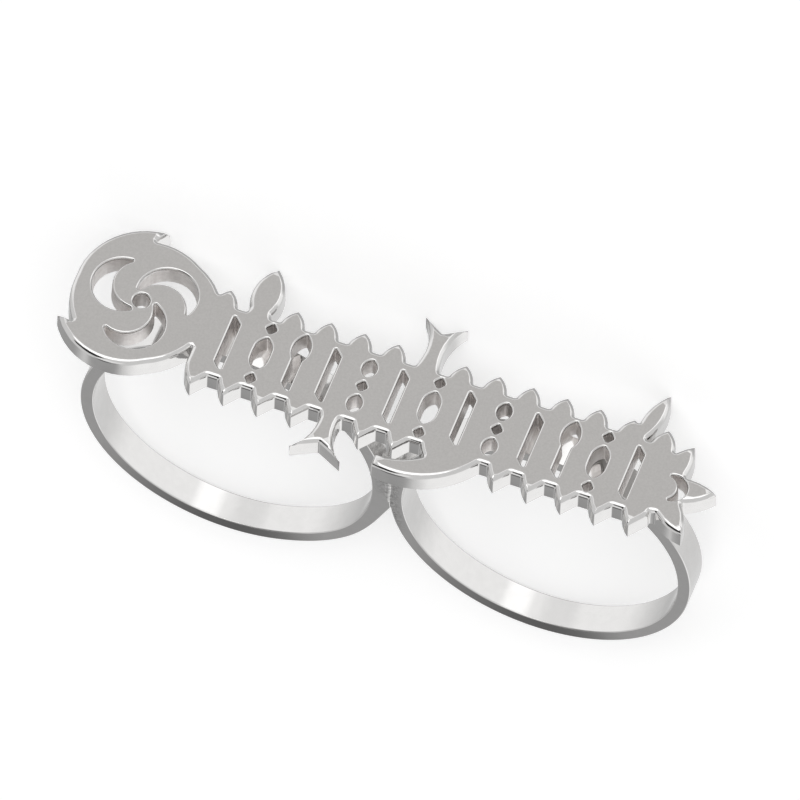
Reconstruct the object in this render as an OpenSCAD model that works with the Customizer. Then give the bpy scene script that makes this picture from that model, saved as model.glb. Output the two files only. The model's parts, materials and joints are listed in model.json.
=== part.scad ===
// Two finger ring: a flat pierced face plate soldered across two finger bands.
// It is drawn with X along the plate, Y along the fingers and Z out of the plate's face. The last
// step lays it on its side, as it rests on a table: on the plate's upper tips and on the bands' edges.

/* [Bands] */
// Inside diameter of each finger hole
bore_d = 17.3; // [15:0.1:21]
// Width of each band, along the finger
band_w = 2.1; // [1.6:0.1:3]
// Wall of a band under the face plate
wall_near = 0.85; // [0.75:0.05:1.2]
// Wall of a band at the side away from the face plate
wall_far = 0.73; // [0.6:0.01:0.8]
// Gap between the two bands where they come closest
band_gap = 0.6; // [0.4:0.05:0.9]

/* [Solder web] */
// Height of the solder above the line through both finger holes
web_top = 1.6; // [0.8:0.1:3]
// Depth of the notch's tip below that line
web_notch = 1.2; // [0.6:0.1:1.8]
// Depth at which the solder runs out along the bands
web_run = 3; // [2.4:0.1:4]

/* [Face plate] */
// Thickness of the face plate
plate_t = 1.45; // [1.1:0.05:2]
// How far the tops of the bands sink into the back of the plate
plate_seat = 0.3; // [0.2:0.05:0.5]
// Height of the plate's upper tips above the middle of the bands
tip_line = 5.2; // [4.8:0.1:6]
// Depth of the plate's lower tips below the middle of the bands
tail_line = 6.1; // [5.8:0.1:7]

/* [Row of bars] */
// Distance from one bar to the next
bar_pitch = 2.11; // [2.05:0.01:2.3]
// Width of a bar
bar_w = 1.68; // [1.5:0.01:1.75]
// Height of the bars' pointed heads above the middle of the bands
bar_head = 2.85; // [2.7:0.05:3.2]
// Depth of the bars' slanted feet below the middle of the bands
bar_foot = 4.4; // [4.2:0.05:4.6]
// Height of the top edge of the metal that joins the bars
row_top = 1.75; // [1.65:0.05:1.9]
// Depth of the bottom edge of the metal that joins the bars
row_bottom = 3.35; // [3.2:0.05:3.5]

/* [Lights between the bars] */
// Width of a narrow slit
slit_w = 0.43; // [0.35:0.01:0.6]
// Width of a pointed light
light_w = 0.95; // [0.7:0.01:1.1]
// Height of the top of the lights
light_top = 0.85; // [0.6:0.05:0.85]
// Depth of the bottom of the lights
light_bottom = 2.65; // [2.3:0.05:2.8]
// Width of the lozenges above and below a pointed light
lozenge_w = 0.56; // [0.4:0.01:0.6]
// Metal left between two openings of one gap
bridge = 0.4; // [0.3:0.05:0.5]

/* [Wheel] */
// Radius of the wheel at the left end of the plate
wheel_r = 4.3; // [3.8:0.1:4.8]
// How far the wheel's three hooked tips stand out from its rim
hook_h = 0.75; // [0.5:0.05:1]
// Width of the wheel's rim outside the daggers
rim_w = 0.95; // [0.7:0.05:1.2]
// Diameter of the hole in the middle of the wheel
hub_d = 0.9; // [0.6:0.1:1.2]
// How deep the wheel runs into the first bar
wheel_lap = 0.45; // [0.3:0.05:0.8]

/* [Spear, fishtails and leaf] */
// Width of the spearhead
spear_w = 2; // [1.7:0.1:2.1]
// Width of the necks of the two fishtails
neck_w = 1.4; // [1.1:0.1:1.6]
// Half the spread of the upper fishtail
upper_spread = 1.35; // [1.1:0.05:1.6]
// Half the spread of the lower fishtail
lower_spread = 1.6; // [1.3:0.05:1.9]
// Length of the upper and the lower fishtail
fishtail_h = 2; // [1.7:0.1:2.1]
// Width of the leaf above the row
leaf_w = 1.3; // [1:0.1:1.5]
// Length of the leaf above the row
leaf_h = 4.3; // [4:0.1:4.6]
// Width of the curved tail below the row
tail_w = 1; // [0.8:0.05:1.2]

/* [Trefoil end] */
// Length of the trefoil's middle point, from its centre
point_len = 3.5; // [3:0.1:4]
// Length of the trefoil's two side points, from its centre
side_len = 3.6; // [3:0.1:3.9]
// Width of each of the trefoil's points
point_w = 1.75; // [1.6:0.05:2]
// Radius of the trefoil's middle
trefoil_r = 1.85; // [1.6:0.05:2]

/* [Hidden] */
$fn = 96;
silver = [0.74, 0.74, 0.75];

// Bands
bore_r = bore_d / 2;
band_r = bore_r + (wall_near + wall_far) / 2;
band_rise = (wall_near - wall_far) / 2;
band_x = band_r + band_gap / 2;
far_reach = bore_r + wall_far;

// Face plate, front and back
plate_back = bore_r + wall_near - plate_seat;
plate_front = plate_back + plate_t;

// Row of bars: the heads are pointed arches, the feet are slanted
bar_count = 14;
row_len = bar_pitch * (bar_count - 1);
head_h = bar_w * sqrt(3) / 2;
foot_h = bar_w;
lozenge_h = lozenge_w * 1.15;

// How far the fishtails' necks run down to get well into the row
upper_root = tip_line - fishtail_h - row_top + bar_w / 4;
lower_root = tail_line - fishtail_h - row_bottom + bar_w / 4;

// Kinds of light, and the light in the gap after each bar
SLIT = 0;
LIGHT = 1;
DAGGER = 2;
TWIN = 3;
LIGHTS = [SLIT, LIGHT, DAGGER, SLIT, TWIN, SLIT, LIGHT, SLIT, TWIN, SLIT, DAGGER, LIGHT, SLIT];

// Bars that carry the spear, the lower fishtail, the upper fishtail and the leaf
SPEAR_BAR = 1;
LOWER_BAR = 4;
UPPER_BAR = 6;
LEAF_BAR = 12.45;

// Wheel and trefoil: their places, and the plate's two ends
wheel_left = max(wheel_r, (wheel_r + hook_h) * cos(30));
trefoil_turn = 12;
trefoil_out = 0.7;
trefoil_y = -1.1;
point_root = 0.8;
wheel_out = wheel_r + bar_w / 2 - wheel_lap;
wheel_y = tip_line - wheel_r - hook_h;
point_out = point_len * cos(trefoil_turn);
first_x = (wheel_out + wheel_left - row_len - trefoil_out - point_out) / 2;

function bar_x(i) = first_x + i * bar_pitch;

// The ring lies tilted, on the tips' back edge and on the bands' edges
tilt = atan((tip_line - band_w / 2) / (plate_back + far_reach));
lift = band_w / 2 * cos(tilt) + far_reach * sin(tilt);
front_y = -plate_front * cos(tilt) - tip_line * sin(tilt);
back_y = far_reach * cos(tilt) + band_w / 2 * sin(tilt);

// The lens that two equal circles share, pointed at its top and bottom
module vesica(w, h) {
  r = (w * w + h * h) / (4 * w);
  intersection_for (side = [-1, 1]) translate([side * (r - w / 2), 0]) circle(r = r);
}

// The pointed arch over a width, standing on its springing line
module arch(w) {
  intersection() {
    intersection_for (side = [-1, 1]) translate([side * w / 2, 0]) circle(r = w);
    translate([-w, -w / 8]) square([2 * w, 2 * w]);
  }
}

module lozenge(w, h) {
  polygon([[-w / 2, 0], [0, -h / 2], [w / 2, 0], [0, h / 2]]);
}

// A narrow slit with slanted ends
module slit(y0, y1) {
  polygon([[-slit_w / 2, y0 + slit_w], [slit_w / 2, y0], [slit_w / 2, y1 - slit_w], [-slit_w / 2, y1]]);
}

// A light with a pointed arch at both ends
module lancet(w, y0, y1) {
  rise = w * sqrt(3) / 2;
  translate([-w / 2, y0 + rise]) square([w, y1 - y0 - 2 * rise]);
  translate([0, y1 - rise]) arch(w);
  translate([0, y0 + rise]) mirror([0, 1]) arch(w);
}

// One opening of the row, by its kind: a slit, a light between two lozenges, a dagger that hangs,
// or two eyes with a lozenge between them
module light(kind) {
  head = light_top + slit_w / 2;
  if (kind == SLIT) slit(-light_bottom, head);
  if (kind == LIGHT) {
    upper = row_top - bridge - lozenge_h;
    lower = bridge + lozenge_h - row_bottom;
    lancet(light_w, lower + bridge, upper - bridge);
    for (y = [upper + lozenge_h / 2, lower - lozenge_h / 2]) translate([0, y]) lozenge(lozenge_w, lozenge_h);
  }
  if (kind == DAGGER) {
    translate([0, light_top - light_w * 0.55]) vesica(light_w, light_w * 2.1);
    slit(-light_bottom, light_top - light_w * 0.8);
  }
  if (kind == TWIN) {
    eye_h = (head + light_bottom - lozenge_h) / 2 - bridge;
    middle = (head - light_bottom) / 2;
    translate([0, middle]) lozenge(lozenge_w, lozenge_h);
    for (side = [-1, 1])
      translate([0, middle + side * (lozenge_h + eye_h + 2 * bridge) / 2]) vesica(light_w * 0.8, eye_h);
  }
}

// Head and foot of a bar: a pointed arch, and a curve that ends in a slant
module bar() {
  translate([-bar_w / 2, foot_h - bar_foot]) square([bar_w, bar_foot + bar_head - head_h - foot_h]);
  translate([0, bar_head - head_h]) arch(bar_w);
  translate([0, foot_h - bar_foot]) intersection() {
    translate([bar_w * 0.75, bar_w * 0.05]) circle(r = bar_w * 1.26);
    polygon([
      [-bar_w, -foot_h * 0.6], [-bar_w * 0.06, -foot_h],
      [bar_w / 2, -foot_h * 0.28], [bar_w / 2, foot_h / 8], [-bar_w, foot_h / 8]
    ]);
  }
}

module row_of_bars() {
  for (i = [0 : bar_count - 1]) translate([bar_x(i), 0]) bar();
  translate([bar_x(0), -row_bottom]) square([row_len, row_bottom + row_top]);
}

// A forked end on a waisted neck, whose root runs down into the row.
// Each flank is an arc from the waist to the tip, so its radius follows from the two.
module fishtail(spread, root) {
  waist = neck_w * 0.08;
  waist_y = -fishtail_h * 0.1;
  run = spread - neck_w / 2 + waist;
  rise = fishtail_h - waist_y;
  flank = (run * run + rise * rise) / (2 * run);
  fork = fishtail_h * 0.6;
  wide = spread * 1.15;
  top = fork + (fishtail_h - fork) * 1.15;
  difference() {
    union() {
      translate([-neck_w / 2, -root]) square([neck_w, root + fishtail_h * 0.2]);
      polygon([[-neck_w / 2, 0], [neck_w / 2, 0], [wide, top], [0, fork], [-wide, top]]);
    }
    for (side = [-1, 1])
      translate([side * (neck_w / 2 - waist + flank), waist_y]) circle(r = flank);
  }
}

module spear() {
  root = bar_head - head_h / 2 - spear_w / 2;
  translate([bar_x(SPEAR_BAR), (tip_line + root) / 2]) vesica(spear_w, tip_line - root);
}

module leaf() {
  lean = 12;
  translate([bar_x(LEAF_BAR), tip_line - leaf_h / 2 * cos(lean)]) rotate(-lean) vesica(leaf_w, leaf_h);
}

// The curved tail that hooks back under the row, cut off at a slant
module tail() {
  drop = tail_line - tail_w / 4;
  sweep = drop - tail_w * 0.3;
  inner = sweep * 0.76;
  top = tail_w / 2 - row_bottom;
  translate([bar_x(UPPER_BAR), 0]) intersection() {
    difference() {
      translate([tail_w * 0.45, sweep - drop]) circle(r = sweep);
      translate([-tail_w * 0.7, inner - drop + tail_w]) circle(r = inner);
    }
    polygon([
      [-tail_w, -row_bottom], [-tail_w * 0.55, -2 * drop], [2 * drop, -2 * drop], [2 * drop, top], [0, top]
    ]);
  }
}

// One curved dagger of the wheel, cut through it
module wheel_dagger() {
  r = (wheel_r - rim_w) * 0.53;
  difference() {
    translate([wheel_r - rim_w - r, 0]) circle(r = r);
    translate([wheel_r - rim_w - r * 1.42, -r * 0.42]) circle(r = r * 0.97);
    circle(r = hub_d / 2 + bridge);
  }
}

// One hook of the wheel: an arc that leaves the rim slowly and ends in an undercut tip
module wheel_hook() {
  intersection() {
    translate([0, hook_h]) circle(r = wheel_r);
    polygon([
      [0, 0], [-2 * wheel_r, 0], [-2 * wheel_r, 2 * wheel_r],
      [0, 2 * wheel_r], [0, wheel_r + hook_h], [-hook_h, wheel_r - hook_h / 3]
    ]);
  }
}

module wheel() {
  difference() {
    union() {
      circle(r = wheel_r);
      for (turn = [0, 120, 240]) rotate(turn) wheel_hook();
    }
    for (turn = [0, 120, 240]) rotate(turn + 35) wheel_dagger();
    circle(d = hub_d);
  }
}

// One point of the trefoil, whose root runs back past the centre
module trefoil_point(reach) {
  translate([(reach - point_root) / 2, 0]) rotate(90) vesica(point_w, reach + point_root);
}

// The right end: a leaf of three points round a curved dagger
module trefoil() {
  difference() {
    union() {
      circle(r = trefoil_r);
      rotate(trefoil_turn) trefoil_point(point_len);
      for (side = [-1, 1]) rotate(trefoil_turn + side * 60) trefoil_point(side_len);
    }
    rotate(trefoil_turn) difference() {
      translate([trefoil_r * 0.45, 0]) circle(r = trefoil_r * 0.46);
      translate([trefoil_r * 0.17, 0]) circle(r = trefoil_r * 0.49);
    }
  }
}

module plate_outline() {
  difference() {
    union() {
      row_of_bars();
      spear();
      translate([bar_x(UPPER_BAR), tip_line - fishtail_h]) fishtail(upper_spread, upper_root);
      translate([bar_x(LOWER_BAR), fishtail_h - tail_line]) mirror([0, 1]) fishtail(lower_spread, lower_root);
      leaf();
      tail();
      translate([bar_x(bar_count - 1) + trefoil_out, trefoil_y]) trefoil();
    }
    for (i = [0 : bar_count - 2]) translate([bar_x(i + 0.5), 0]) light(LIGHTS[i]);
  }
  translate([bar_x(0) - wheel_out, wheel_y]) wheel();
}

module face_plate() {
  translate([0, 0, plate_back]) linear_extrude(plate_t) plate_outline();
}

// A disc across a band's width, with its axis along the finger
module cross_disc(r, w) {
  rotate([90, 0, 0]) cylinder(r = r, h = w, center = true);
}

// A band's outside, thicker under the plate than at the far side
module finger_band(side) {
  translate([side * band_x, 0, band_rise]) cross_disc(band_r, band_w);
}

module finger_hole(side) {
  translate([side * band_x, 0, 0]) cross_disc(bore_r, band_w * 2);
}

// Solder between the bands, with a notch below that runs out along both of them
module solder_web() {
  half = band_gap / 2 + wall_far / 2;
  run_half = band_x - sqrt(band_r * band_r - (web_run + band_rise) * (web_run + band_rise));
  rotate([90, 0, 0]) linear_extrude(band_w, center = true) polygon([
    [-half, web_top], [half, web_top], [half, 0], [run_half + wall_far / 2, -web_run],
    [run_half, -web_run], [0, -web_notch], [-run_half, -web_run],
    [-run_half - wall_far / 2, -web_run], [-half, 0]
  ]);
}

module upright_ring() {
  difference() {
    union() {
      for (side = [-1, 1]) finger_band(side);
      solder_web();
    }
    for (side = [-1, 1]) finger_hole(side);
  }
  face_plate();
}

module ring() {
  color(silver)
    translate([0, -(front_y + back_y) / 2, lift])
      rotate([90 - tilt, 0, 0]) rotate([0, 0, 180])
        upright_ring();
}

ring();
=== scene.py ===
"""Two finger ring in polished sterling silver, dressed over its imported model.

Plate coordinates are in millimetres: L runs along the face plate to the photograph's right, F along the
fingers and N out of the plate's face. RingPose turns them into the row frame, in metres, from a finger
hole in the record. The plate's outline is read from the front face of the solid, and the rest follows
from the finger hole and from the sizes in the classes below. An angle on a band is counted from the
direction of the plate.
"""

import json
import logging
import math
from collections.abc import Callable, Sequence
from dataclasses import dataclass, field
from enum import Enum

import bmesh
import bpy
import numpy as np
from mathutils import Matrix, Vector, noise
from mathutils.bvhtree import BVHTree
from mathutils.geometry import delaunay_2d_cdt


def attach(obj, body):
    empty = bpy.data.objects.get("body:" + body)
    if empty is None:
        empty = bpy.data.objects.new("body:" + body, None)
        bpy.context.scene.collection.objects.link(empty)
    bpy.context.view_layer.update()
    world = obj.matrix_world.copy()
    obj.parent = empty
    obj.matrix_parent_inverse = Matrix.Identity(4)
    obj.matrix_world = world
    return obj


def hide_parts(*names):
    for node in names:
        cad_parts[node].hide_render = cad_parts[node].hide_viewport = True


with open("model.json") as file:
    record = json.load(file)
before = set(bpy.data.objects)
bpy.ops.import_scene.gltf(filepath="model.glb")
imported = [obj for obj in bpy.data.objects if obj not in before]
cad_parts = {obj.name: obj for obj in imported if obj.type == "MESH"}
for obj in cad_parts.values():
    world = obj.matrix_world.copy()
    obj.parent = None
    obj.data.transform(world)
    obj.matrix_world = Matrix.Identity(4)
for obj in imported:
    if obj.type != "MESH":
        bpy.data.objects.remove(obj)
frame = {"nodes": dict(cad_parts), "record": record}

log = logging.getLogger("two_finger_ring")

MM = 0.001
BODY = "root"
NODE = "ring"
RUN = "polish_run"
SOLDERED = "solder_share"

Place = tuple[float, float, float]


class Finish(Enum):
    """The finishes that the ring's surfaces are given."""

    MIRROR = "mirror_polished_sterling"
    SATIN = "satin_sterling"
    PIERCED = "pierced_edge_sterling"
    SOLDER = "flowed_silver_solder"


Materials = dict[Finish, bpy.types.Material]


def linear(colour: str) -> tuple[float, float, float, float]:
    """Turns an sRGB hex colour into the linear values that Blender's sockets hold.

    Args:
        colour: Six hex digits after a hash sign.

    Returns:
        Red, green, blue and a full alpha.
    """
    shares = [int(colour[i : i + 2], 16) / 255 for i in (1, 3, 5)]
    red, green, blue = (s / 12.92 if s <= 0.04045 else ((s + 0.055) / 1.055) ** 2.4 for s in shares)
    return red, green, blue, 1.0


def add_node(
    tree: bpy.types.NodeTree, kind: str, links: dict | None = None, **settings: object
) -> bpy.types.Node:
    """Adds one node with its settings and links.

    Args:
        tree: The node tree that takes the node.
        kind: Blender's name for the node's type.
        links: What each input socket holds: another node's output, or a plain value.
        **settings: The node's own properties.

    Returns:
        The new node.
    """
    node = tree.nodes.new(kind)
    for name, value in settings.items():
        setattr(node, name, value)
    for name, value in (links or {}).items():
        if isinstance(value, bpy.types.NodeSocket):
            tree.links.new(value, node.inputs[name])
        else:
            node.inputs[name].default_value = value
    return node


@dataclass(frozen=True)
class RingPose:
    """Where the ring lies, and the size of its finger holes, all from one of the record's mounts."""

    tilt: float
    rest_y: float
    rest_z: float
    bore_r: float
    band_w: float
    band_x: float

    @classmethod
    def from_record(cls, record: dict) -> "RingPose":
        """Reads the pose from the finger hole on the photograph's left.

        Args:
            record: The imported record.

        Returns:
            The pose, with its sizes in millimetres.
        """
        hole = next(m for m in record["mounts"] if m["name"] == "left_finger_hole")
        x, y, z = (value / MM for value in hole["pos_m"])
        tilt = math.atan2(hole["axis"][1], hole["axis"][2])
        return cls(tilt, y, z, hole["dims"]["r_mm"], hole["dims"]["length_mm"], x)

    def turn(self, direction: Sequence[float]) -> Vector:
        """Turns a direction in plate coordinates into the row frame.

        Args:
            direction: Its shares along L, F and N.

        Returns:
            The direction, as long as before.
        """
        along, finger, out = direction
        cos_t, sin_t = math.cos(self.tilt), math.sin(self.tilt)
        return Vector((-along, -out * cos_t - finger * sin_t, out * sin_t - finger * cos_t))

    def place(self, point: Sequence[float]) -> Vector:
        """Turns a point in plate coordinates into the row frame, in metres."""
        return (self.turn(point) + Vector((0, self.rest_y, self.rest_z))) * MM

    def unplace(self, points: np.ndarray) -> np.ndarray:
        """Turns points of the row frame, in metres, into plate coordinates.

        Args:
            points: One row of X, Y and Z for each point.

        Returns:
            One row of L, F and N for each point, in millimetres.
        """
        rest = points / MM - np.array([0, self.rest_y, self.rest_z])
        axes = np.array([self.turn(axis) for axis in ((1, 0, 0), (0, 1, 0), (0, 0, 1))])
        return rest @ axes.T


@dataclass
class MeshDraft:
    """A mesh in the making, in plate coordinates, with smooth normals and a finish for each face."""

    points: list[Place] = field(default_factory=list)
    normals: list[Place] = field(default_factory=list)
    runs: list[tuple[float, float]] = field(default_factory=list)
    soldered: list[float] = field(default_factory=list)
    faces: list[tuple[int, ...]] = field(default_factory=list)
    finishes: list[Finish] = field(default_factory=list)

    def add_point(
        self, point: Place, normal: Place, run: tuple[float, float], soldered: float = 0.0
    ) -> int:
        """Adds a point.

        Args:
            point: Its place in plate coordinates.
            normal: The surface's direction there.
            run: Its place along and across the polishing strokes, in millimetres.
            soldered: How much solder has run over it, from 0 to 1.

        Returns:
            The point's number.
        """
        self.points.append(point)
        self.normals.append(normal)
        self.runs.append(run)
        self.soldered.append(soldered)
        return len(self.points) - 1

    def add_face(self, corners: tuple[int, ...], finish: Finish) -> None:
        """Adds a face with its finish."""
        self.faces.append(corners)
        self.finishes.append(finish)

    def build(self, name: str, pose: RingPose, materials: Materials) -> bpy.types.Object:
        """Makes the Blender object, which stands for the solid and rides on its body.

        Args:
            name: The piece's name.
            pose: Where the ring lies.
            materials: The material of each finish.

        Returns:
            The new object.
        """
        mesh = bpy.data.meshes.new(name)
        mesh.from_pydata([pose.place(p) for p in self.points], [], self.faces)
        used = sorted(set(self.finishes), key=list(Finish).index)
        for finish in used:
            mesh.materials.append(materials[finish])
        mesh.polygons.foreach_set("material_index", [used.index(f) for f in self.finishes])
        mesh.polygons.foreach_set("use_smooth", [True] * len(self.faces))
        run = mesh.attributes.new(RUN, "FLOAT_VECTOR", "POINT")
        run.data.foreach_set("vector", [value for u, v in self.runs for value in (u, v, 0.0)])
        mesh.attributes.new(SOLDERED, "FLOAT", "POINT").data.foreach_set("value", self.soldered)
        mesh.normals_split_custom_set_from_vertices([pose.turn(n).normalized() for n in self.normals])
        mesh.update()
        piece = bpy.data.objects.new(name, mesh)
        bpy.context.scene.collection.objects.link(piece)
        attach(piece, BODY)
        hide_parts(NODE)
        log.info("%s: %d points, %d faces", name, len(self.points), len(self.faces))
        return piece


@dataclass(frozen=True, order=True)
class EdgeRoll:
    """How polishing rolled an edge off.

    The roll reaches in on the flat by its width and down the wall by its depth. Below it the wall leans
    by an angle in radians.
    """

    width: float
    depth: float
    lean: float = 0.0

    def inset(self, angle: float) -> float:
        """Gives how far in from the wall's top the roll faces an angle away from the flat's normal."""
        return self.width * (1 - math.sin(angle))

    def share(self, distance: float) -> float:
        """Gives how much of the roll lies further in than a distance from the wall's top."""
        steepest = self.depth / math.hypot(self.depth, self.width * math.tan(self.lean))
        return steepest * max(0.0, 1 - max(0.0, distance) / self.width)

    def drop(self, distance: float) -> float:
        """Gives how far the surface lies under the flat, a distance in from the wall's top."""
        return self.depth * (1 - math.sqrt(1 - self.share(distance) ** 2))

    def slope(self, distance: float) -> tuple[float, float]:
        """Gives the surface's direction on the roll.

        Args:
            distance: How far in from the wall's top.

        Returns:
            The normal's share outwards and its share upwards.
        """
        share = self.share(distance)
        out, up = self.depth * share, self.width * math.sqrt(1 - share * share)
        return out / math.hypot(out, up), up / math.hypot(out, up)


@dataclass(frozen=True)
class EdgeLoop:
    """A closed edge of flat metal, with the metal on its left, and the way it is rolled off."""

    points: np.ndarray
    roll: EdgeRoll

    @property
    def inward(self) -> np.ndarray:
        """The direction into the metal at each point."""
        run = np.roll(self.points, -1, axis=0) - np.roll(self.points, 1, axis=0)
        run /= np.linalg.norm(run, axis=1)[:, None]
        return np.column_stack([-run[:, 1], run[:, 0]])


def signed_area(points: np.ndarray) -> float:
    """Gives a closed polyline's area, positive where it runs anticlockwise."""
    after = np.roll(points, -1, axis=0)
    return float(np.sum(points[:, 0] * after[:, 1] - after[:, 0] * points[:, 1]) / 2)


@dataclass(frozen=True)
class CornerPolish:
    """How polishing softens the corners of an edge, seen from the front.

    The edge is followed in even steps. A point is kept wherever it has turned or run on far enough.
    """

    step: float = 0.03
    least_steps: int = 24
    softness: float = 0.055
    most_turn: float = math.radians(9)
    most_gap: float = 0.5

    def soften(self, points: np.ndarray) -> np.ndarray:
        """Rounds a closed polyline's corners, and keeps points where it bends.

        Args:
            points: The polyline, one row of two values for each point.

        Returns:
            The rounded polyline.
        """
        ring = np.vstack([points, points[:1]])
        way = np.concatenate([[0], np.cumsum(np.linalg.norm(np.diff(ring, axis=0), axis=1))])
        count = max(self.least_steps, round(way[-1] / self.step))
        at = np.linspace(0, way[-1], count, endpoint=False)
        even = np.column_stack([np.interp(at, way, ring[:, i]) for i in (0, 1)])
        apart = np.minimum(at, way[-1] - at)
        blur = np.exp(-((apart / self.softness) ** 2) / 2)
        spread = np.fft.rfft(blur / blur.sum())
        soft = np.column_stack([np.fft.irfft(np.fft.rfft(even[:, i]) * spread, count) for i in (0, 1)])
        return soft[self.worth_keeping(soft)]

    def worth_keeping(self, points: np.ndarray) -> list[int]:
        """Picks the points of an evenly spaced polyline that its bends and its length need.

        Args:
            points: The even polyline.

        Returns:
            The numbers of the points to keep.
        """
        run = np.roll(points, -1, axis=0) - points
        heading = np.unwrap(np.arctan2(run[:, 1], run[:, 0]))
        gap = float(np.linalg.norm(run, axis=1).mean())
        kept = [0]
        turned = 0.0
        for i in range(1, len(points)):
            turned += abs(heading[i] - heading[i - 1])
            if turned >= self.most_turn or (i - kept[-1]) * gap >= self.most_gap:
                kept.append(i)
                turned = 0.0
        return kept


@dataclass(frozen=True)
class SlabDress:
    """The finishes of a slab: face, rolled edges, outer wall, walls of the openings, and back."""

    flat: Finish
    rolled: Finish
    wall: Finish
    opening: Finish
    under: Finish

    @classmethod
    def all_over(cls, finish: Finish) -> "SlabDress":
        """Gives every side the same finish."""
        return cls(finish, finish, finish, finish, finish)


class RolledSlab:
    """Flat metal of any outline, whose edges are rolled off on both sides.

    The metal is triangulated once, from the points on its edges and from rings of points inside them.
    A point's depth under the face follows from how far it is from the nearest edges.
    """

    # A ring lies where the roll faces one of these angles away from the flat's normal.
    RING_ANGLES = tuple(math.radians(a) for a in (67.5, 45, 22.5, 0))
    # A spot this close to an edge has no direction out to it.
    ON_EDGE = 1e-4
    # This share of a distance from an edge passes for the whole of it.
    KEEP = 0.985
    # A ridge is found by this many halvings, and left out where it is no further than this share of the
    # roll's width from the ring before it.
    RIDGE_HALVINGS = 6
    RIDGE_CLEARANCE = 0.025
    # The heights of the walls that stand for the edges in the search for the nearest one.
    WALL_HEIGHTS = (-1.0, 1.0)
    # The triangulation's settings: the whole hull is filled, and points this close are one.
    FILL_HULL = 0
    SAME_POINT = 1e-6

    def __init__(
        self, loops: list[EdgeLoop], back: EdgeRoll, thickness: float, fill: float = 0.0
    ) -> None:
        """Triangulates the slab.

        Args:
            loops: The outer edge first, then the edges of the openings.
            back: How the edges of the back are rolled off.
            thickness: The slab's thickness.
            fill: The spacing of extra points on the flat, or 0 for none.
        """
        self.loops = loops
        self.back = back
        self.thickness = thickness
        self.trees = {roll: self.edge_tree(roll) for roll in sorted({loop.roll for loop in loops})}
        self.spots = [Vector(point) for loop in loops for point in loop.points]
        self.outlines: list[list[int]] = []
        self.edges: list[tuple[int, int]] = []
        for loop in loops:
            start = sum(len(outline) for outline in self.outlines)
            outline = list(range(start, start + len(loop.points)))
            self.outlines.append(outline)
            self.edges += zip(outline, outline[1:] + outline[:1])
        edge_count = len(self.spots)
        for loop in loops:
            self.add_rings(loop)
        if fill:
            self.add_fill(fill)
        regions = self.outlines[:1] + [outline[::-1] for outline in self.outlines[1:]]
        self.flat, _, faces, came_from, _, inside = delaunay_2d_cdt(
            self.spots, self.edges, regions, self.FILL_HULL, self.SAME_POINT
        )
        # A face is metal where it lies in the outer edge's region alone.
        self.faces = [face for face, holders in zip(faces, inside) if list(holders) == [0]]
        # The points are numbered anew, so these lead from a new number to an edge point's and back.
        self.edge_number = {
            number: source
            for number, sources in enumerate(came_from)
            for source in sources
            if source < edge_count
        }
        self.new_number = {source: number for number, source in self.edge_number.items()}

    def lean_in(self, roll: EdgeRoll) -> float:
        """Gives how far the wall's top stands in from its foot."""
        return (self.thickness - roll.depth) * math.tan(roll.lean)

    def edge_tree(self, roll: EdgeRoll) -> BVHTree:
        """Makes a search tree of the edges with one roll.

        Args:
            roll: The roll.

        Returns:
            The tree of upright walls along those edges.
        """
        points, walls = [], []
        for loop in self.loops:
            if loop.roll != roll:
                continue
            start, count = len(points), len(loop.points)
            points += [(x, y, h) for x, y in loop.points for h in self.WALL_HEIGHTS]
            for i in range(count):
                a, b = start + 2 * i, start + 2 * ((i + 1) % count)
                walls.append((a, b, b + 1, a + 1))
        return BVHTree.FromPolygons(points, walls)

    def nearest(self, spot: Sequence[float]) -> tuple[EdgeRoll, float, Vector]:
        """Finds the edge that rules the surface at a spot.

        Args:
            spot: The place on the flat.

        Returns:
            The edge's roll, its distance, and the direction out to it.
        """
        here = Vector((spot[0], spot[1], 0.0))
        best = None
        for roll, tree in self.trees.items():
            where, _, _, distance = tree.find_nearest(here)
            rank = (roll.drop(distance - self.lean_in(roll)), -distance)
            if best is None or rank > best[0]:
                best = (rank, roll, distance, where)
        _, roll, distance, where = best
        out = (where - here).normalized() if distance > self.ON_EDGE else Vector((0, 0, 0))
        return roll, distance, out

    def rules(self, spot: np.ndarray, roll: EdgeRoll, distance: float) -> bool:
        """Says whether a spot, a distance in from an edge with that roll, is ruled by that edge."""
        found_roll, found, _ = self.nearest(spot)
        return found_roll == roll and found >= distance * self.KEEP

    def add_rings(self, loop: EdgeLoop) -> None:
        """Adds the rings of one loop, each cut off where another edge takes over.

        Args:
            loop: The loop.
        """
        insets = [self.lean_in(loop.roll) + loop.roll.inset(angle) for angle in self.RING_ANGLES]
        before: list[int | None] = [None] * len(insets)
        first: list[int | None] = [None] * len(insets)
        for i, (point, inward) in enumerate(zip(loop.points, loop.inward)):
            cut = False
            for level, inset in enumerate(insets):
                spot = point + inward * inset
                number = None
                if not cut and self.rules(spot, loop.roll, inset):
                    number = len(self.spots)
                    self.spots.append(Vector(spot))
                elif not cut:
                    cut = True
                    self.add_ridge(point, inward, loop.roll, insets[level - 1] if level else 0.0, inset)
                if number is not None and before[level] is not None:
                    self.edges.append((before[level], number))
                if i == 0:
                    first[level] = number
                before[level] = number
        for start, end in zip(first, before):
            if start is not None and end is not None:
                self.edges.append((end, start))

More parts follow.
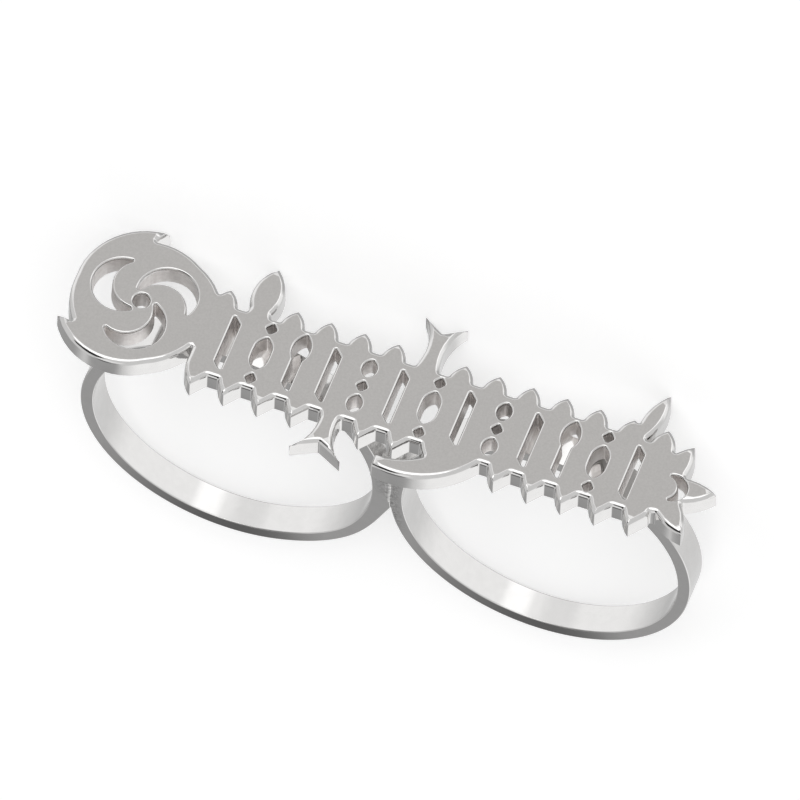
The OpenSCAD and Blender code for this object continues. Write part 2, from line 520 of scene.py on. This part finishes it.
    def add_ridge(
        self, point: np.ndarray, inward: np.ndarray, roll: EdgeRoll, low: float, high: float
    ) -> None:
        """Adds the point where two rolled edges meet in a ridge.

        Args:
            point: The place on the edge.
            inward: The direction into the metal there.
            roll: The edge's roll.
            low: A distance in from the edge that it still rules.
            high: A distance in from the edge that it no longer rules.
        """
        least = low + roll.width * self.RIDGE_CLEARANCE
        for _ in range(self.RIDGE_HALVINGS):
            middle = (low + high) / 2
            if self.rules(point + inward * middle, roll, middle):
                low = middle
            else:
                high = middle
        if low > least:
            self.spots.append(Vector(point + inward * low))

    def add_fill(self, spacing: float) -> None:
        """Adds a grid of points on the flat, clear of the rings.

        Args:
            spacing: The distance between the points.
        """
        outer = self.loops[0].points
        low, high = outer.min(axis=0), outer.max(axis=0)
        for x in np.arange(low[0], high[0], spacing):
            for y in np.arange(low[1], high[1], spacing):
                roll, distance, _ = self.nearest((x, y))
                if distance > roll.width + spacing / 2 and self.holds((x, y)):
                    self.spots.append(Vector((x, y)))

    def holds(self, spot: Sequence[float]) -> bool:
        """Says whether a spot lies on the metal, inside the outer edge and in no opening.

        Args:
            spot: The place on the flat.

        Returns:
            Whether a line from it crosses the edges an odd number of times.
        """
        crossings = 0
        for loop in self.loops:
            (x0, y0), (x1, y1) = loop.points.T, np.roll(loop.points, -1, axis=0).T
            spans = (y0 > spot[1]) != (y1 > spot[1])
            with np.errstate(divide="ignore", invalid="ignore"):
                across = x0 + (spot[1] - y0) * (x1 - x0) / (y1 - y0)
            crossings += int(np.count_nonzero(spans & (across > spot[0])))
        return crossings % 2 == 1

    def draft(
        self, low: float, place: Callable[[float, float, float], Place], dress: SlabDress
    ) -> MeshDraft:
        """Makes the slab's mesh.

        Args:
            low: The height of the back.
            place: Turns a place on the flat and a height into plate coordinates.
            dress: The finishes of its sides.

        Returns:
            The mesh.
        """
        made = MeshDraft()
        ups: list[int] = []
        downs: list[int] = []
        is_flat: list[bool] = []
        inwards = np.vstack([loop.inward for loop in self.loops])
        for number, spot in enumerate(self.flat):
            roll, distance, out = self.nearest(spot)
            lean_in = self.lean_in(roll)
            is_flat.append(distance >= (lean_in + roll.width) * self.KEEP)
            top = spot.to_3d()
            back_out, back_down = self.back.slope(distance)
            # On an edge the spot is the wall's foot, and the wall's top stands in from it.
            if number in self.edge_number:
                inward = Vector(inwards[self.edge_number[number]]).to_3d()
                distance, out, top = 0.0, -inward, top + inward * lean_in
                back_out, back_down = math.cos(roll.lean), -math.sin(roll.lean)
            over = distance - lean_in
            face_out, face_up = roll.slope(over)
            level = low + self.thickness - roll.drop(over)
            normal = place(out.x * face_out, out.y * face_out, face_up)
            ups.append(made.add_point(place(top.x, top.y, level), normal, (spot.x, spot.y)))
            level = low + self.back.drop(distance)
            normal = place(out.x * back_out, out.y * back_out, -back_down)
            downs.append(made.add_point(place(spot.x, spot.y, level), normal, (spot.x, spot.y)))
        for face in self.faces:
            finish = dress.flat if all(is_flat[i] for i in face) else dress.rolled
            made.add_face(tuple(ups[i] for i in face), finish)
            made.add_face(tuple(downs[i] for i in reversed(face)), dress.under)
        for i, outline in enumerate(self.outlines):
            finish = dress.opening if i else dress.wall
            for here, after in zip(outline, outline[1:] + outline[:1]):
                a, b = self.new_number[here], self.new_number[after]
                made.add_face((downs[a], downs[b], ups[b], ups[a]), finish)
        return made


@dataclass(frozen=True)
class FacePlate:
    """The pierced plate across the fingers, read from the solid's front face."""

    outer_roll: EdgeRoll = EdgeRoll(width=0.26, depth=0.34, lean=math.radians(2))
    opening_roll: EdgeRoll = EdgeRoll(width=0.12, depth=0.2, lean=math.radians(2))
    back_roll: EdgeRoll = EdgeRoll(width=0.12, depth=0.12)
    corner_polish: CornerPolish = CornerPolish()
    flat_tolerance: float = 0.004
    same_point: float = 0.001

    def front_loops(self, cad: bpy.types.Object, pose: RingPose) -> tuple[list[EdgeLoop], float, float]:
        """Reads the outline from the solid.

        Args:
            cad: The node's object.
            pose: Where the ring lies.

        Returns:
            The edges, the outer one first, and the heights of the plate's back and face.
        """
        mesh = cad.data
        values = np.empty(len(mesh.vertices) * 3)
        mesh.vertices.foreach_get("co", values)
        points = pose.unplace(values.reshape(-1, 3))
        front = float(points[:, 2].max())
        # The back is read from points that lie clear of the bands.
        beside = np.abs(points[:, 1]) > pose.band_w
        back = float(points[beside, 2].min())
        on_front = points[:, 2] > front - self.flat_tolerance
        names = [tuple(np.round(p[:2] / self.same_point).astype(int)) for p in points]
        followers: dict[tuple, tuple] = {}
        borders: set[tuple] = set()
        for polygon in mesh.polygons:
            corners = list(polygon.vertices)
            if all(on_front[i] for i in corners):
                for a, b in zip(corners, corners[1:] + corners[:1]):
                    borders.add((names[a], names[b]))
        # A side of the front face that no other triangle shares is a part of an edge.
        for a, b in borders:
            if (b, a) not in borders:
                followers[a] = b
        at = {name: point[:2] for name, point in zip(names, points)}
        rings = []
        while followers:
            start = next(iter(followers))
            ring = [start]
            while (after := followers.pop(ring[-1])) != start:
                ring.append(after)
            rings.append(np.array([at[name] for name in ring]))
        rings.sort(key=lambda ring: -abs(signed_area(ring)))
        loops = []
        for i, ring in enumerate(rings):
            wanted, roll = (-1, self.opening_roll) if i else (1, self.outer_roll)
            turned = ring if signed_area(ring) * wanted > 0 else ring[::-1]
            loops.append(EdgeLoop(self.corner_polish.soften(turned), roll))
        return loops, back, front

    def build(self, pose: RingPose, materials: Materials) -> bpy.types.Object:
        """Builds the plate.

        Args:
            pose: Where the ring lies.
            materials: The material of each finish.

        Returns:
            The plate's object.
        """
        loops, back, front = self.front_loops(frame["nodes"][NODE], pose)
        log.info("face plate: %d openings, %.2f mm thick", len(loops) - 1, front - back)
        slab = RolledSlab(loops, self.back_roll, front - back)
        dress = SlabDress(
            flat=Finish.SATIN,
            rolled=Finish.MIRROR,
            wall=Finish.MIRROR,
            opening=Finish.PIERCED,
            under=Finish.SATIN,
        )
        made = slab.draft(back, lambda x, y, h: (x, y, h), dress)
        return made.build("face_plate", pose, materials)


@dataclass(frozen=True)
class Filing:
    """How far a band's sides were filed to lean to the finger at an angle, both in degrees."""

    angle: float
    lean: float


def smooth_step(low: float, high: float, value: float) -> float:
    """Rises smoothly from 0 at the low value to 1 at the high one, or falls where low is over high."""
    share = min(1.0, max(0.0, (value - low) / (high - low)))
    return share * share * (3 - 2 * share)


@dataclass(frozen=True)
class Bulge:
    """Where a band was bent outwards to meet the other one, by a height in millimetres."""

    height: float = 0.28
    start: float = math.radians(30)
    full: float = math.radians(58)
    wane: float = math.radians(118)
    end: float = math.radians(160)

    def shift(self, angle: float) -> float:
        """Gives how much further out the band lies at an angle."""
        risen = smooth_step(self.start, self.full, angle)
        return self.height * risen * smooth_step(self.end, self.wane, angle)


@dataclass(frozen=True)
class SolderFlow:
    """Solder that flowed up to the other band and was dressed smooth with this one's outside.

    At the peak's angle it stands at its height, beyond that it thins out, and nearer to the plate it
    fills the way to the other band.
    """

    height: float = 0.35
    peak: float = math.radians(101)
    fade: float = math.radians(9)
    start: float = math.radians(74)
    full: float = math.radians(90)

    def extra(self, pose: RingPose, radius: float, other_radius: float, angle: float) -> float:
        """Gives how much further out the solder reaches, at most as far as the other band.

        Args:
            pose: Where the ring lies, with its finger holes.
            radius: The band's outer radius.
            other_radius: The other band's outer radius.
            angle: The angle.

        Returns:
            The extra radius.
        """
        if not self.start < angle < math.pi:
            return 0.0
        flowed = self.height * math.exp((self.peak - angle) / self.fade)
        level = min(other_radius, abs((radius + flowed) * math.cos(angle)))
        other_band = 2 * pose.band_x - math.sqrt(other_radius**2 - level**2)
        reach = other_band / math.sin(angle) - radius
        return max(0.0, min(flowed, reach)) * smooth_step(self.start, self.full, angle)


@dataclass(frozen=True)
class FingerBand:
    """One flat band round a finger, thicker under the plate than at the far side.

    Its side is -1 at the photograph's left and 1 at its right. The joint stands on the finger holes'
    line and has a top in N. The solder's film on the band is whole up to the joint's near reach and
    ends at its far one.
    """

    side: int
    wall_near: float = 0.85
    wall_far: float = 0.73
    inner_edge: float = 0.06
    outer_edge: float = 0.07
    filed: tuple[Filing, ...] = (
        Filing(128, 0),
        Filing(150, 4),
        Filing(172, 8),
        Filing(188, 7.5),
        Filing(205, 5.5),
        Filing(240, 3.3),
        Filing(285, 0),
    )
    bulge: Bulge | None = None
    flow: SolderFlow | None = None
    joint_top: float = 2.0
    joint_reach: tuple[float, float] = (1.6, 4.4)
    steps: int = 300
    edge_steps: int = 5

    @property
    def name(self) -> str:
        """The band's name, as the photograph has it."""
        return "left_band" if self.side < 0 else "right_band"

    def radii(self, pose: RingPose, angle: float) -> tuple[float, float]:
        """Gives the band's inner and outer radius at an angle.

        The plain outside is a circle too, with its centre a little nearer to the plate than the hole's.

        Args:
            pose: Where the ring lies, with its finger holes.
            angle: The angle.

        Returns:
            Both distances from the finger hole's centre.
        """
        radius = pose.bore_r + (self.wall_near + self.wall_far) / 2
        rise = (self.wall_near - self.wall_far) / 2
        plain = rise * math.cos(angle) + math.sqrt(radius**2 - (rise * math.sin(angle)) ** 2)
        shift = self.bulge.shift(angle) if self.bulge else 0.0
        solder = self.flow.extra(pose, plain + shift, plain, angle) if self.flow else 0.0
        return pose.bore_r + shift, plain + shift + solder

    def lean(self, angle: float) -> float:
        """Gives how far the filed sides lean to the finger at an angle, in radians."""
        table = [(math.radians(row.angle), math.radians(row.lean)) for row in self.filed]
        return float(np.interp(angle, *zip(*table)))

    def soldered(self, point: Place, outside: float) -> float:
        """Gives how much solder has run over a place near the other band.

        Args:
            point: The place, in plate coordinates.
            outside: 0 at the band's inside, 1 at its outside.

        Returns:
            The solder's share.
        """
        away = math.hypot(point[0], max(0.0, -point[2], point[2] - self.joint_top))
        near, far = self.joint_reach
        return outside * smooth_step(far, near, away)

    def section(self, width: float) -> list[tuple[float, float, float, float, float]]:
        """Gives the band's rounded section.

        Args:
            width: The band's width.

        Returns:
            For each point: 0 at the inside or 1 at the outside, how far in from there, the place across
            the band, and the normal outwards and across.
        """
        corners = (
            (0, self.inner_edge, -1, 180),
            (1, self.outer_edge, -1, 270),
            (1, self.outer_edge, 1, 0),
            (0, self.inner_edge, 1, 90),
        )
        section = []
        for outside, radius, across, start in corners:
            for i in range(self.edge_steps + 1):
                angle = math.radians(start + 90 * i / self.edge_steps)
                out, over = math.cos(angle), math.sin(angle)
                depth = radius * (1 - out) if outside else radius * (1 + out)
                place = across * (width / 2 - radius) + radius * over
                section.append((outside, depth, place, out, over))
        return section

    def build(self, pose: RingPose, materials: Materials) -> bpy.types.Object:
        """Builds the band.

        Args:
            pose: Where the ring lies.
            materials: The material of each finish.

        Returns:
            The band's object.
        """
        made = MeshDraft()
        section = self.section(pose.band_w)
        around = [0.0]
        for a, b in zip(section, section[1:]):
            around.append(around[-1] + math.dist(a[1:3], b[1:3]) + abs(a[0] - b[0]) * self.wall_far)
        for i in range(self.steps):
            angle = 2 * math.pi * i / self.steps
            sin_a, cos_a = math.sin(angle), math.cos(angle)
            inner, outer = self.radii(pose, angle)
            lean = math.tan(self.lean(angle))
            for (outside, depth, across, out, over), way in zip(section, around):
                radius = outer - depth if outside else inner + depth
                filed = across - math.copysign(lean * (outer - radius), across)
                point = (self.side * pose.band_x + radius * sin_a, filed, radius * cos_a)
                facing = out - abs(over) * lean
                normal = (facing * sin_a, over, facing * cos_a)
                run = (angle * pose.bore_r, way)
                made.add_point(point, normal, run, self.soldered(point, outside))
        count = len(section)
        for i in range(self.steps):
            here, after = i * count, (i + 1) % self.steps * count
            for j in range(count):
                k = (j + 1) % count
                made.add_face((here + j, after + j, after + k, here + k), Finish.MIRROR)
        return made.build(self.name, pose, materials)


@dataclass(frozen=True)
class SolderWeb:
    """Solder that filled the wedge between the two bands, stands a little proud and set lumpy.

    Its edge, seen along the fingers, is given in L and N, and reaches lowest into the bands' notch.
    """

    edge: tuple[tuple[float, float], ...] = (
        (0.33, -1.3),
        (0.46, -0.9),
        (0.52, 0.0),
        (0.56, 1.2),
        (0.7, 2.2),
        (0.3, 2.0),
        (0.0, 1.95),
        (-0.3, 2.0),
        (-0.36, 2.2),
        (-0.26, 1.2),
        (-0.2, 0.0),
        (0.0, -0.8),
    )
    proud: float = 0.1
    roll: float = 0.45
    softness: float = 0.12
    most_gap: float = 0.12
    lump_size: float = 0.4
    lump_height: float = 0.03
    fill: float = 0.08

    def build(self, pose: RingPose, materials: Materials) -> bpy.types.Object:
        """Builds the solder.

        Args:
            pose: Where the ring lies.
            materials: The material of each finish.

        Returns:
            The solder's object.
        """
        polish = CornerPolish(softness=self.softness, most_gap=self.most_gap)
        roll = EdgeRoll(width=self.roll, depth=self.roll)
        loop = EdgeLoop(polish.soften(np.array(self.edge)), roll)
        half = pose.band_w / 2 + self.proud
        slab = RolledSlab([loop], roll, 2 * half, self.fill)
        dress = SlabDress.all_over(Finish.SOLDER)
        made = slab.draft(-half, lambda x, y, h: (x, -h, y), dress)
        for i, (point, normal) in enumerate(zip(made.points, made.normals)):
            lump = noise.noise(Vector(point) / self.lump_size) * self.lump_height
            made.points[i] = tuple(p + n * lump for p, n in zip(point, normal))
        return made.build("solder_web", pose, materials)


@dataclass(frozen=True)
class SilverFinish:
    """A finish of silver: its colour and how its surface was made.

    Lengths are in millimetres. Strokes are the fine lines that a wheel or a saw leaves, grain is the
    surface's own speckle, and swell is the slow rise and fall that hand work leaves. The tones and the
    gloss go from one end to the other between the given values of the grain's and the strokes' noise.
    """

    finish: Finish
    colour: str
    dull_colour: str
    roughness: float
    roughness_spread: float
    stroke_width: float
    stroke_length: float
    stroke_height: float
    grain: float
    grain_height: float
    swell: float
    swell_height: float
    stroke_detail: float = 3.0
    grain_detail: float = 4.0
    swell_detail: float = 1.0
    tone_ends: tuple[float, float] = (0.35, 0.65)
    gloss_ends: tuple[float, float] = (0.3, 0.7)

    def layer(self, tree: bpy.types.NodeTree) -> dict[str, bpy.types.NodeSocket]:
        """Draws the finish with noise, along the strokes and in the metal.

        Args:
            tree: The material's nodes.

        Returns:
            The sockets of its colour, its roughness and its height in millimetres.
        """
        run = add_node(tree, "ShaderNodeAttribute", attribute_name=RUN).outputs["Vector"]
        place = add_node(tree, "ShaderNodeTexCoord").outputs["Object"]
        stretch = (1 / self.stroke_length, 1 / self.stroke_width, 1.0)
        along = add_node(tree, "ShaderNodeMapping", {"Vector": run, "Scale": stretch}).outputs[0]
        waves = (
            (along, 1.0, self.stroke_detail, self.stroke_height),
            (place, 1 / (self.grain * MM), self.grain_detail, self.grain_height),
            (place, 1 / (self.swell * MM), self.swell_detail, self.swell_height),
        )
        noises: list[bpy.types.NodeSocket] = []
        height: bpy.types.NodeSocket | float = 0.0
        for where, scale, detail, rise in waves:
            links = {"Vector": where, "Scale": scale, "Detail": detail}
            noises.append(add_node(tree, "ShaderNodeTexNoise", links).outputs[0])
            links = {0: noises[-1], 1: rise, 2: height}
            height = add_node(tree, "ShaderNodeMath", links, operation="MULTIPLY_ADD").outputs[0]
        strokes, grain, _ = noises
        mottle = {"Value": grain, "From Min": self.tone_ends[0], "From Max": self.tone_ends[1]}
        tones = {
            "Factor": add_node(tree, "ShaderNodeMapRange", mottle).outputs[0],
            "A": linear(self.colour),
            "B": linear(self.dull_colour),
        }
        gloss = {
            "Value": strokes,
            "From Min": self.gloss_ends[0],
            "From Max": self.gloss_ends[1],
            "To Min": self.roughness - self.roughness_spread,
            "To Max": self.roughness + self.roughness_spread,
        }
        return {
            "colour": add_node(tree, "ShaderNodeMix", tones, data_type="RGBA").outputs["Result"],
            "roughness": add_node(tree, "ShaderNodeMapRange", gloss).outputs["Result"],
            "height": height,
        }

    def material(self, over: "SilverFinish | None" = None) -> bpy.types.Material:
        """Makes the material.

        Args:
            over: The finish that lies over it where solder has run, or None.

        Returns:
            The material.
        """
        made = bpy.data.materials.new(self.finish.value)
        made.use_nodes = True
        tree = made.node_tree
        tree.nodes.clear()
        look = self.layer(tree)
        if over is not None:
            share = add_node(tree, "ShaderNodeAttribute", attribute_name=SOLDERED).outputs["Fac"]
            top = over.layer(tree)
            for name, kind in (("colour", "RGBA"), ("roughness", "FLOAT"), ("height", "FLOAT")):
                links = {"Factor": share, "A": look[name], "B": top[name]}
                look[name] = add_node(tree, "ShaderNodeMix", links, data_type=kind).outputs["Result"]
        links = {"Height": look["height"], "Strength": 1.0, "Distance": MM}
        bump = add_node(tree, "ShaderNodeBump", links)
        links = {
            "Base Color": look["colour"],
            "Metallic": 1.0,
            "Roughness": look["roughness"],
            "Normal": bump.outputs["Normal"],
        }
        shader = add_node(tree, "ShaderNodeBsdfPrincipled", links)
        add_node(tree, "ShaderNodeOutputMaterial", {"Surface": shader.outputs["BSDF"]})
        return made


# Sterling silver off the felt wheel: a near mirror, with hairlines round the band that only soften what
# it reflects, and a slow swell that bends the reflections a little.
MIRROR_POLISH = SilverFinish(
    finish=Finish.MIRROR,
    colour="#E4E3E2", dull_colour="#E1E0DF", roughness=0.09, roughness_spread=0.03,
    stroke_width=0.05, stroke_length=3.0, stroke_height=0.0004,
    grain=0.6, grain_height=0.0004, swell=3.5, swell_height=0.012,
)

# Sterling silver lapped flat and left satin: an even mid grey, finely grained, that only shows its
# surroundings as broad blurred tones.
SATIN_LAP = SilverFinish(
    finish=Finish.SATIN,
    colour="#B8B6B4", dull_colour="#B2B0AE", roughness=0.34, roughness_spread=0.03,
    stroke_width=0.06, stroke_length=1.2, stroke_height=0.0006,
    grain=0.12, grain_height=0.0008, swell=6.0, swell_height=0.006,
)

# Sawn walls of the openings, coloured lighter than the mirror silver: painted light that lifts the
# walls out of the shade inside the openings. Soft reflections with fine lines across the
#  thickness.
PIERCED_EDGE = SilverFinish(
    finish=Finish.PIERCED,
    colour="#F1EEEC", dull_colour="#E7E3E1", roughness=0.5, roughness_spread=0.08,
    stroke_width=0.4, stroke_length=0.08, stroke_height=0.0012,
    grain=0.25, grain_height=0.0015, swell=1.2, swell_height=0.01,
)

# Silver solder as it set: dull, mottled light and dark, with pits and lumps.
SET_SOLDER = SilverFinish(
    finish=Finish.SOLDER,
    colour="#E0DFDE", dull_colour="#A8A7A6", roughness=0.36, roughness_spread=0.08,
    stroke_width=0.3, stroke_length=0.3, stroke_height=0.004,
    grain=0.16, grain_height=0.018, swell=0.7, swell_height=0.03,
)


@dataclass(frozen=True)
class Panel:
    """A round panel of the studio, far away, with a soft edge.

    It lies in a direction in plate coordinates. Its half angle and the width of its blurred edge are in
    degrees, and its brightness is a share of full white. Where panels overlap, the later one covers.
    """

    name: str
    towards: Place
    half_angle: float
    blur: float
    brightness: float


@dataclass(frozen=True)
class Studio:
    """A plain pale floor under soft panels, and the photograph's camera.

    The floor's and the key light's sizes are in metres and the key's power in watts. The camera's sizes
    are in millimetres, apart from its clip_start, which is in metres.
    """

    room: float = 0.72
    panels: tuple[Panel, ...] = (
        Panel("low panel", (0.0, 1.0, 0.0), 63, 13, 1.05),
        Panel("low left shade", (-0.194, 0.506, -0.84), 10, 65, 0.6),
        Panel("low right shade", (0.363, 0.506, -0.783), 6, 55, 0.75),
        Panel("low centre shade", (0.0, 1.0, 0.0), 34, 18, 0.5),
        Panel("low dip", (-0.373, 0.506, 0.777), 4, 12, 0.92),
        Panel("low strip", (0.14, 0.506, 0.851), 4, 8, 1.34),
        Panel("front panel", (-0.12, -0.25, 0.96), 24, 9, 1.6),
        Panel("right back panel", (0.6, -0.28, -0.75), 18, 16, 1.06),
        Panel("top back panel", (-0.1, -0.985, -0.14), 12, 10, 0.95),
        Panel("left back shade", (-0.62, 0.1, -0.78), 14, 14, 0.38),
        Panel("back shade", (-0.17, -0.5, -0.85), 9, 9, 0.385),
        Panel("side shade", (-0.17, -0.766, -0.62), 3, 15, 0.13),
        Panel("dark flag", (-0.48, -0.83, 0.28), 19, 8, 0.03),
    )
    floor_colour: str = "#F0F0F0"
    floor_glow: float = 0.37
    floor_size: float = 6.0
    floor_roughness: float = 0.9
    floor_specular: float = 0.1
    key_from: Place = (0.135, -0.424, 0.895)
    key_distance: float = 0.3
    key_size: float = 0.2
    key_power: float = 0.085
    view_from: Place = (0.166, -0.506, 0.846)
    view_up: Place = (-0.302, 0.791, 0.532)
    frame_px: float = 800.0
    px_per_mm: float = 16.93
    aim_right: float = 0.54
    aim_up: float = 4.718
    camera_distance: float = 2000.0
    sensor: float = 36.0
    clip_start: float = 0.1

    def light_room(self, pose: RingPose) -> None:
        """Builds the room's light: an even grey, with the panels set into it.

        Args:
            pose: Where the ring lies.
        """
        world = bpy.data.worlds.new("studio_room")
        bpy.context.scene.world = world
        world.use_nodes = True
        tree = world.node_tree
        tree.nodes.clear()
        towards = add_node(tree, "ShaderNodeTexCoord").outputs["Generated"]
        level: bpy.types.NodeSocket | float = self.room
        for panel in self.panels:
            links = {0: towards, 1: pose.turn(panel.towards).normalized()}
            facing = add_node(tree, "ShaderNodeVectorMath", links, operation="DOT_PRODUCT")
            links = {
                "Value": facing.outputs["Value"],
                "From Min": math.cos(math.radians(panel.half_angle + panel.blur)),
                "From Max": math.cos(math.radians(panel.half_angle)),
            }
            edge = add_node(tree, "ShaderNodeMapRange", links, interpolation_type="SMOOTHSTEP")
            links = {"Factor": edge.outputs["Result"], "A": level, "B": panel.brightness}
            level = add_node(tree, "ShaderNodeMix", links, label=panel.name).outputs["Result"]
        light = add_node(tree, "ShaderNodeBackground", {"Color": (1, 1, 1, 1), "Strength": level})
        add_node(tree, "ShaderNodeOutputWorld", {"Surface": light.outputs["Background"]})

    def add_key(self, pose: RingPose) -> bpy.types.Object:
        """Adds the key light, a weak softbox on the camera's side that only lights the floor.

        Args:
            pose: Where the ring lies.

        Returns:
            The light.
        """
        data = bpy.data.lights.new("key_softbox", "AREA")
        data.size = self.key_size
        data.energy = self.key_power
        key = bpy.data.objects.new("key_softbox", data)
        bpy.context.scene.collection.objects.link(key)
        aim = pose.turn(self.key_from).normalized()
        turn = aim.to_track_quat("Z", "Y").to_matrix().to_4x4()
        key.matrix_world = Matrix.Translation(aim * self.key_distance) @ turn
        key.visible_camera = False
        key.visible_glossy = False
        return key

    def add_floor(self) -> bpy.types.Object:
        """Adds the floor that the ring lies on, which the metal doesn't reflect.

        Returns:
            The floor.
        """
        mesh = bpy.data.meshes.new("floor")
        shape = bmesh.new()
        bmesh.ops.create_grid(shape, x_segments=1, y_segments=1, size=self.floor_size / 2)
        shape.to_mesh(mesh)
        shape.free()
        matte = bpy.data.materials.new("matte_white_board")
        matte.use_nodes = True
        shader = matte.node_tree.nodes["Principled BSDF"]
        shader.inputs["Base Color"].default_value = linear(self.floor_colour)
        shader.inputs["Roughness"].default_value = self.floor_roughness
        shader.inputs["Specular IOR Level"].default_value = self.floor_specular
        shader.inputs["Emission Color"].default_value = (1, 1, 1, 1)
        shader.inputs["Emission Strength"].default_value = self.floor_glow
        mesh.materials.append(matte)
        floor = bpy.data.objects.new("floor", mesh)
        bpy.context.scene.collection.objects.link(floor)
        floor.visible_glossy = False
        floor.visible_shadow = False
        return floor

    def add_camera(self, pose: RingPose) -> bpy.types.Object:
        """Adds the camera at the photograph's angle to the ring.

        Args:
            pose: Where the ring lies.

        Returns:
            The camera.
        """
        back = pose.turn(self.view_from).normalized()
        up = pose.turn(self.view_up)
        right = up.cross(back).normalized()
        up = back.cross(right)
        data = bpy.data.cameras.new("photo_camera")
        data.sensor_width = self.sensor
        data.lens = self.sensor * self.camera_distance / (self.frame_px / self.px_per_mm)
        data.clip_start = self.clip_start
        data.dof.use_dof = False
        camera = bpy.data.objects.new("photo_camera", data)
        bpy.context.scene.collection.objects.link(camera)
        aim = pose.place((0, 0, 0)) + (right * self.aim_right + up * self.aim_up) * MM
        turn = Matrix((right, up, back)).transposed().to_4x4()
        camera.matrix_world = Matrix.Translation(aim + back * self.camera_distance * MM) @ turn
        bpy.context.scene.camera = camera
        return camera


def main() -> None:
    """Builds the ring's pieces in order, then the studio."""
    logging.basicConfig(level=logging.INFO, format="%(name)s: %(message)s")
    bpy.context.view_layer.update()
    pose = RingPose.from_record(frame["record"])
    finishes = (SATIN_LAP, PIERCED_EDGE, SET_SOLDER)
    materials = {finish.finish: finish.material() for finish in finishes}
    materials[Finish.MIRROR] = MIRROR_POLISH.material(SET_SOLDER)
    FacePlate().build(pose, materials)
    left = FingerBand(-1, bulge=Bulge(), flow=SolderFlow(), joint_reach=(0.05, 0.45))
    for band in (left, FingerBand(1)):
        band.build(pose, materials)
    SolderWeb().build(pose, materials)
    studio = Studio()
    studio.light_room(pose)
    studio.add_key(pose)
    studio.add_floor()
    studio.add_camera(pose)
    bpy.context.scene.view_settings.view_transform = "Standard"


if __name__ == "__main__":
    main()
